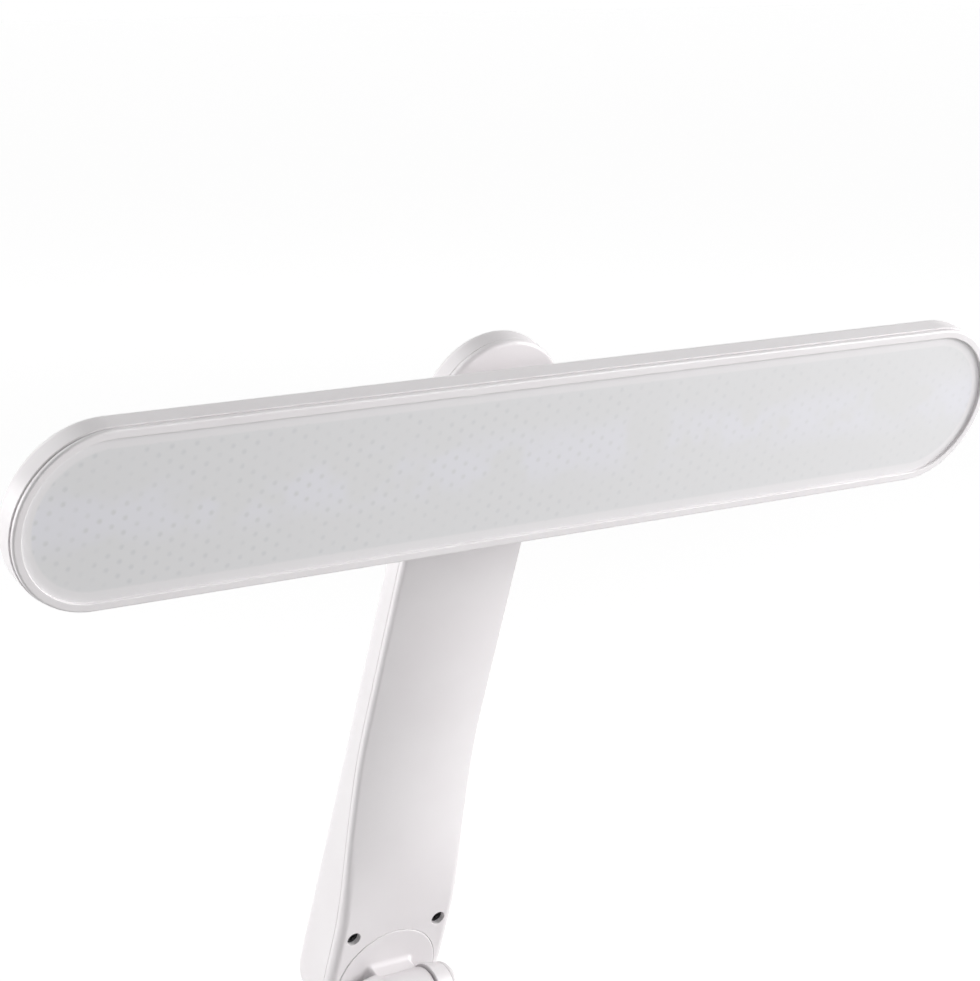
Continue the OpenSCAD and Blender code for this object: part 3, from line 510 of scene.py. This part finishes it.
def neck(name, half, height, reach, where):
    """The neck flares into the disc behind it and runs into the barrel in front."""
    flare, corner = 2 * MM, 1.2 * MM
    sections = [(flare * (1 - sin(t)), -reach + flare * (1 - cos(t)))
                for t in (pi / 2 * k / 8 for k in range(9))] + [(0, 0)]
    loops = [[(x, y, z) for x, y in
              quarter_loop(half + out - 0.02 * MM, height + out, corner + out, 8)] for out, z in sections]
    return loft(name, loops, where)


def barrel(name, radius, half, where):
    profile = arc((radius - EASE, -half + EASE), EASE, -90, 0, 4)
    profile += arc((radius - EASE, half - EASE), EASE, 0, 90, 4)
    return turned(name, profile, where @ Matrix.Rotation(pi / 2, 4, "Y"), FINE)


# ---- Arm ----
def mix(first, second, share):
    return first + (second - first) * share


def step_share(y, end=STEP_END):
    t = min(1, max(0, (y - STEP_START) / (end - STEP_START)))
    return t * t * (3 - 2 * t)


def edge_z(y):
    """Height of the arm's front edge, along the smooth step from the platform to the upper part."""
    upper = -SHOULDER_DEPTH - (TOP_DEPTH - SHOULDER_DEPTH) * (y - STEP_END) / (ARM_LENGTH - STEP_END)
    return mix(-PLATFORM_DEPTH - PLATFORM_DROP, upper, step_share(y))


def rounding(share, radius):
    """How far a rounded edge of that radius has dropped at that share of the arm's half width."""
    past = max(0, share - 1 + radius / ARM_RADIUS) * ARM_RADIUS / radius
    return 1 - sqrt(max(0, 1 - past ** 2))


def front_z(y, share):
    """Height of the arm's front surface at that share of its half width.

    The platform is flat up to a rounded edge, and turns into the crown of the upper part.
    """
    flat = (PLATFORM_DROP - DISC_PROUD) * (1 - rounding(share, PLATFORM_ROUND))
    crown = CROWN_HEIGHT * (1 - share ** 2) - UPPER_ROUND * rounding(share, UPPER_ROUND)
    return edge_z(y) + mix(flat, crown, step_share(y, CROWN_START))


def parting_z(y):
    return edge_z(y) - COVER_RIM


def seam_z(y):
    """Height of the seam round the arm, which stays behind the rounded edge."""
    return parting_z(y) - UPPER_ROUND * step_share(y, CROWN_START)


def arm_outline(inset, rows=90):
    """Points round the arm at that inset, with rows along its straight sides."""
    radius = ARM_RADIUS - inset
    turns = [pi * k / (2 * FINE) for k in range(2 * FINE + 1)]
    low = [(radius * cos(t), -radius * sin(t)) for t in turns[::-1]]
    high = [(radius * cos(t), ARM_LENGTH + radius * sin(t)) for t in turns]
    rise = [ARM_LENGTH * k / rows for k in range(1, rows)]
    return low + [(radius, y) for y in rise] + high + [(-radius, y) for y in rise[::-1]]


def arm_ring(inset, height):
    return [(x, y, height(y)) for x, y in arm_outline(inset)]


def arm_cover():
    """The cover over the arm's front: a crowned upper part that steps down to a flat platform."""
    under = [arm_ring(inset, lambda y: seam_z(y) + SEAM) for inset in (ARM_RADIUS, COVER_WALL, SEAM)]
    side = [arm_ring(0, lambda y: seam_z(y) + 2 * SEAM)]
    edge = [1 - (1 - sin(pi / 2 * k / 12)) * PLATFORM_ROUND / ARM_RADIUS for k in range(12, -1, -1)]
    inner = [edge[-1] * cos(pi / 2 * k / 28) for k in range(1, 29)]
    over = [arm_ring(ARM_RADIUS * (1 - share), lambda y, share=share: front_z(y, share))
            for share in edge + inner]
    cover = loft("arm_cover", under + side + over, AT_ARM, ends=False)
    for x in (-COVER_SCREW_X, COVER_SCREW_X):
        for y in (COVER_SCREW_Y, ARM_LENGTH - COVER_SCREW_Y):
            surface = front_z(y, abs(x) / ARM_RADIUS)
            recess = hole_profile(COVER_RECESS, parting_z(y) + SCREW_LEDGE, surface, EASE / 2)
            place = AT_ARM @ Matrix.Translation((x, y, 0)) @ OFF_GRID
            cut(cover, turned("recess", recess, place, 12))
    low_floor = -PLATFORM_DEPTH - LOW_DISC_THICKNESS - PLAY
    low_seat = hole_profile(LOW_DISC + DISC_JOINT, low_floor, -PLATFORM_DEPTH - DISC_PROUD, EASE / 3)
    cut(cover, turned("low_seat", low_seat, AT_ARM @ OFF_GRID, FINE))
    top_floor = -TOP_REACH - TOP_DISC_THICKNESS - PLAY
    crown = (AT_TOP_AXIS.inverted() @ AT_TOP @ Vector((0, 0, front_z(ARM_LENGTH, 0)))).z
    top_seat = hole_profile(TOP_DISC + DISC_JOINT, top_floor, crown - EASE / 2)
    return cut(cover, turned("top_seat", top_seat, AT_TOP_AXIS @ OFF_GRID, FINE))


def arm_shell():
    """The deep back shell of the arm, parted from the cover by a fine seam."""
    inner_floor = -ARM_BACK + 4 * MM
    rings = [arm_ring(SHELL_LIP, lambda y: inner_floor), arm_ring(SHELL_LIP, lambda y: seam_z(y) - SEAM),
             arm_ring(SEAM, lambda y: seam_z(y) - SEAM), arm_ring(0, lambda y: seam_z(y) - 2 * SEAM)]
    for inset, z in arc((ARM_EDGE, -ARM_BACK + ARM_EDGE), ARM_EDGE, 180, 270, 8):
        rings.append(arm_ring(inset, lambda y, z=z: z))
    return loft("arm_shell", rings, AT_ARM)


# ---- Base ----
def middle_of(node):
    low_corner, high_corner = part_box(node)
    return (low_corner + high_corner) / 2


def below(node):
    """The place on the desk under the middle of a CAD node."""
    middle = middle_of(node)
    return Matrix.Translation((middle.x, middle.y, 0))


def base_shell():
    top, low = BASE_HEIGHT, PAD_THICKNESS
    profile = [(BASE_WALL, top - BASE_WALL), (BASE_WALL, low), (EASE, low), (0, low + EASE)]
    profile += arc((BASE_EDGE, top - BASE_EDGE), BASE_EDGE, 180, 90, 12)
    base = shell("base_shell", BASE_WIDTH / 2, BASE_DEPTH / 2, profile, AT_BASE)
    for node in ("power_button", "tone_button"):
        profile = hole_profile(BUTTON_RADIUS + BUTTON_GAP, top - 2 * BASE_WALL, top)
        cut(base, turned("button_hole", profile, below(node)))
    opening = shell("opening", PEDESTAL_WIDTH / 2 + PEDESTAL_GAP, pedestal_half() + PEDESTAL_GAP,
                    [(0, top - 2 * BASE_WALL), (0, top + 2 * MM)], AT_BASE, centre=(0, pedestal_y()))
    mouth_z = middle_of("power_socket").z
    through = Matrix.Translation((0, BASE_DEPTH / 2 - 2 * BASE_WALL, mouth_z))
    mouth = shell("mouth", SOCKET_MOUTH[0] / 2, SOCKET_MOUTH[1] / 2,
                  [(0, -4 * BASE_WALL), (0, 0)], through @ Matrix.Rotation(pi / 2, 4, "X"))
    return cut(base, opening, mouth)


def base_floor():
    inset, low = BASE_WALL + BUTTON_GAP, PAD_THICKNESS
    profile = [(inset + EASE, low), (inset, low + EASE), (inset, low + 2 * MM)]
    return shell("base_floor", BASE_WIDTH / 2, BASE_DEPTH / 2, profile, AT_BASE)


def pad():
    profile = [(PAD_INSET + EASE, 0), (PAD_INSET, EASE), (PAD_INSET, PAD_THICKNESS)]
    return shell("foot_pad", BASE_WIDTH / 2, BASE_DEPTH / 2, profile, AT_BASE)


def button(node, name):
    top = BASE_HEIGHT + BUTTON_PROUD
    dish, dish_depth, rim = 5 * MM, 0.35 * MM, 0.6 * MM
    profile = [(BUTTON_RADIUS, top - 2 * BASE_WALL)]
    profile += arc((BUTTON_RADIUS - rim, top - rim), rim, 0, 90, 6)
    profile += [(dish * cos(t), top - dish_depth * sin(t)) for t in (pi / 2 * k / 8 for k in range(8))]
    return turned(name, profile, below(node))


def pedestal_half():
    return (PEDESTAL_BACK + PEDESTAL_FRONT) / 2


def pedestal_y():
    return HINGE.y - (PEDESTAL_FRONT - PEDESTAL_BACK) / 2


def ear_half():
    return LOW_NECK_HALF + WASHER_GAP + LOW_EAR


def pedestal():
    """The foot rises from a stadium to a narrow waist under the two ears."""
    foot = quarter_loop(PEDESTAL_WIDTH / 2, pedestal_half(), pedestal_half(), FINE, (0, pedestal_y()))
    waist_y = HINGE.y - (WAIST_FRONT - WAIST_BACK) / 2
    waist = quarter_loop(ear_half(), (WAIST_FRONT + WAIST_BACK) / 2, WAIST_ROUND, FINE, (0, waist_y))
    waist_z = HINGE.z - WAIST_DROP
    levels = [(foot, BASE_HEIGHT - BASE_WALL), (foot, BASE_HEIGHT), (waist, waist_z)]
    return loft("pedestal", [[(x, y, z) for x, y in ring] for ring, z in levels], AT_BASE)


def tangent(y, z, radius, side):
    """Where a line from (y, z) touches a circle about the axis, as an angle."""
    return atan2(z, y) + side * acos(radius / hypot(y, z))


def ear_outline(radius):
    """Side view of an ear: a round eye on sides that run tangent to it down to the waist."""
    back = tangent(WAIST_BACK, -WAIST_DROP, radius, 1)
    front = tangent(-WAIST_FRONT, -WAIST_DROP, radius, -1) + 2 * pi
    eye = [(radius * cos(t), radius * sin(t)) for t in (mix(back, front, k / 48) for k in range(49))]
    return [(WAIST_BACK, -WAIST_DROP)] + eye + [(-WAIST_FRONT, -WAIST_DROP)]


def yoke_ears():
    start = LOW_NECK_HALF + WASHER_GAP
    outer, inner = ear_outline(LOW_BARREL), ear_outline(LOW_BARREL + EAR_TAPER)
    ears = [prism("yoke_ear_0", outer, -start - LOW_EAR, -start, AT_HINGE, EASE, inner),
            prism("yoke_ear_1", inner, start, start + LOW_EAR, AT_HINGE, EASE, outer)]
    block = [(WAIST_BACK, -WAIST_DROP), (WAIST_BACK, -SLOT_FLOOR),
             (-WAIST_FRONT + SLOT_LEAN, -SLOT_FLOOR), (-WAIST_FRONT, -WAIST_DROP)]
    return ears + [prism("yoke_bridge", block, -start - EASE, start + EASE, AT_HINGE, 0)]


# ---- Pieces on their bodies ----
WHITE = "white_plastic"


def knuckle(end, disc, thickness, reach, half, height, radius, where):
    """A knuckle's turning disc, the neck on it and the barrel that the neck carries."""
    body = end + "_knuckle"
    dress(turning_disc(end + "_disc", disc, thickness, reach, where), body, WHITE, end + "_turntable")
    dress(neck(end + "_neck", half, height, reach, where), body, WHITE)
    dress(barrel(end + "_barrel", radius, half, where), body, WHITE)


dress(head_shell(), "head", WHITE, "head_housing")
dress(light_bezel(), "head", WHITE, "head_bezel")
dress(light_panel(), "head", "diffuser_plastic", "diffuser")
dress(head_plate(), "head", WHITE, "head_bracket")
for ear in head_ears():
    dress(ear, "head", WHITE)
for cap in end_caps("head_cap", TOP_NECK_HALF + WASHER_GAP + TOP_EAR, TOP_CAP, TOP_BARREL, AT_HEAD):
    dress(cap, "head", WHITE, "head_pin_caps")
knuckle("upper", TOP_DISC, TOP_DISC_THICKNESS, TOP_REACH, TOP_NECK_HALF, TOP_NECK_HEIGHT, TOP_BARREL,
        AT_TOP_AXIS)
dress(arm_cover(), "arm", WHITE, "arm_front_cover")
dress(arm_shell(), "arm", WHITE, "arm_back_shell")
knuckle("lower", LOW_DISC, LOW_DISC_THICKNESS, PLATFORM_DEPTH, LOW_NECK_HALF, LOW_NECK_HEIGHT, LOW_BARREL,
        AT_ARM)
dress(base_shell(), "base", WHITE, "base_top")
dress(base_floor(), "base", WHITE, "base_bottom")
dress(pad(), "base", "rubber_pad", "base_pad")
dress(pedestal(), "base", WHITE, "hinge_yoke")
for ear in yoke_ears():
    dress(ear, "base", WHITE)
for cap in end_caps("base_cap", ear_half(), LOW_CAP, LOW_BARREL, AT_HINGE):
    dress(cap, "base", WHITE, "base_pin_caps")
dress(button("power_button", "power_key"), "power_button", "button_plastic", "power_button")
dress(button("tone_button", "tone_key"), "tone_button", "button_plastic", "tone_button")


# ---- Camera, light and floor ----
CAMERA_PLACE = (-522.8 * MM, -725.0 * MM, 441.1 * MM)
CAMERA_LOOK = Vector((0.57735, 0.79110, -0.20201))
SOFTBOX_DISTANCE, SOFTBOX_SIDE = 1.6, 0.9
FLOOR_TONE, FLOOR_LIFT_NEAR, FLOOR_LIFT_FAR = 0.5, 0.62, 0.85


def camera():
    data = bpy.data.cameras.new("camera")
    data.sensor_width = 36
    data.lens = 99.1
    eye = bpy.data.objects.new("camera", data)
    eye.location = CAMERA_PLACE
    eye.rotation_euler = CAMERA_LOOK.to_track_quat("-Z", "Y").to_euler()
    bpy.context.scene.collection.objects.link(eye)
    bpy.context.scene.camera = eye


def softbox(name, direction, level):
    """A softbox that gives a surface square to it that share of white."""
    data = bpy.data.lights.new(name, "AREA")
    data.shape = "RECTANGLE"
    data.size = data.size_y = SOFTBOX_SIDE
    data.energy = level * (pi * SOFTBOX_DISTANCE) ** 2
    lamp = bpy.data.objects.new(name, data)
    toward = Vector(direction).normalized()
    middle = (Vector(cad_box[0]) + Vector(cad_box[1])) / 2
    lamp.location = middle + toward * SOFTBOX_DISTANCE
    lamp.rotation_euler = toward.to_track_quat("Z", "Y").to_euler()
    bpy.context.scene.collection.objects.link(lamp)


def seen_share(nodes, links):
    """1 for rays from the camera and for mirror and glass rays, and 0 for the light that falls."""
    path = nodes.new("ShaderNodeLightPath")
    total = path.outputs["Is Camera Ray"]
    for name in ("Is Glossy Ray", "Is Transmission Ray"):
        joined = nodes.new("ShaderNodeMath")
        joined.operation = "MAXIMUM"
        links.new(total, joined.inputs[0])
        links.new(path.outputs[name], joined.inputs[1])
        total = joined.outputs[0]
    return total


def surroundings(level):
    world = bpy.data.worlds.new("studio")
    bpy.context.scene.world = world
    world.use_nodes = True
    nodes, links = world.node_tree.nodes, world.node_tree.links
    fall = nodes["Background"]
    fall.inputs["Color"].default_value = colour(1, 1, 1)
    fall.inputs["Strength"].default_value = level
    seen = nodes.new("ShaderNodeBackground")
    seen.inputs["Color"].default_value = colour(1, 1, 1)
    either = nodes.new("ShaderNodeMixShader")
    links.new(seen_share(nodes, links), either.inputs[0])
    links.new(fall.outputs[0], either.inputs[1])
    links.new(seen.outputs[0], either.inputs[2])
    links.new(either.outputs[0], nodes["World Output"].inputs["Surface"])


def floor(reach=12.0, near=0.4, far=2.5):
    """A plain pale floor, lifted to white where it is seen and lit, more so far from the lamps."""
    mesh = bpy.data.meshes.new("floor")
    corners = [(-reach, -reach, 0), (reach, -reach, 0), (reach, reach, 0), (-reach, reach, 0)]
    mesh.from_pydata(corners, [], [(0, 1, 2, 3)])
    ground = bpy.data.objects.new("floor", mesh)
    bpy.context.scene.collection.objects.link(ground)
    material = bpy.data.materials.new("floor")
    material.use_nodes = True
    nodes, links = material.node_tree.nodes, material.node_tree.links
    shader = nodes["Principled BSDF"]
    shader.inputs["Base Color"].default_value = colour(FLOOR_TONE, FLOOR_TONE, FLOOR_TONE)
    shader.inputs["Roughness"].default_value = 0.9
    shader.inputs["Emission Color"].default_value = colour(1, 1, 1)
    away = nodes.new("ShaderNodeVectorMath")
    away.operation = "LENGTH"
    links.new(nodes.new("ShaderNodeTexCoord").outputs["Object"], away.inputs[0])
    lift = nodes.new("ShaderNodeMapRange")
    lift.interpolation_type = "SMOOTHSTEP"
    for position, value in enumerate((near, far, FLOOR_LIFT_NEAR, FLOOR_LIFT_FAR), 1):
        lift.inputs[position].default_value = value
    links.new(away.outputs["Value"], lift.inputs[0])
    scaled = nodes.new("ShaderNodeMath")
    scaled.operation = "MULTIPLY"
    links.new(lift.outputs[0], scaled.inputs[1])
    links.new(seen_share(nodes, links), scaled.inputs[0])
    links.new(scaled.outputs[0], shader.inputs["Emission Strength"])
    mesh.materials.append(material)


camera()
softbox("right_box", (0.86, -0.48, 0.30), 0.92)
softbox("front_box", (0.20, -0.90, 0.35), 0.28)
softbox("left_box", (-0.87, 0.48, 0.10), 0.90)
softbox("back_box", (-0.30, 0.60, 0.75), 0.25)
surroundings(0.12)
floor()
bpy.context.scene.view_settings.view_transform = "Standard"
